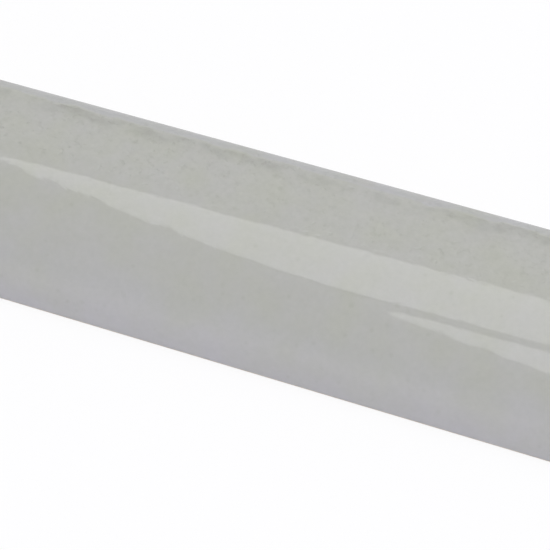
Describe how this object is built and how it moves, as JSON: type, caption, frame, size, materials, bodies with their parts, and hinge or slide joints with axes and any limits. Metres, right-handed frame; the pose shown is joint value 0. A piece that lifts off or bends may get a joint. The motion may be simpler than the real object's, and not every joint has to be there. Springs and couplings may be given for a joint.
{
  "type": "bullnose tile",
  "caption": "Narrow glazed ceramic trim tile with a long edge rounded over, used to finish the exposed edge of a tiled wall, sill or step.",
  "frame": {"origin": "middle of the tile's back, which lies on the floor", "axes": "+X along the length, -Y the way the rounded nose faces, +Y the way the square back edge faces, +Z out of the glazed face"},
  "size_m": [0.15, 0.025, 0.0125],
  "materials": {
    "glaze": "gloss"
  },
  "bodies": {
    "root": {"bullnose_tile": "glaze"}
  },
  "joints": []
}
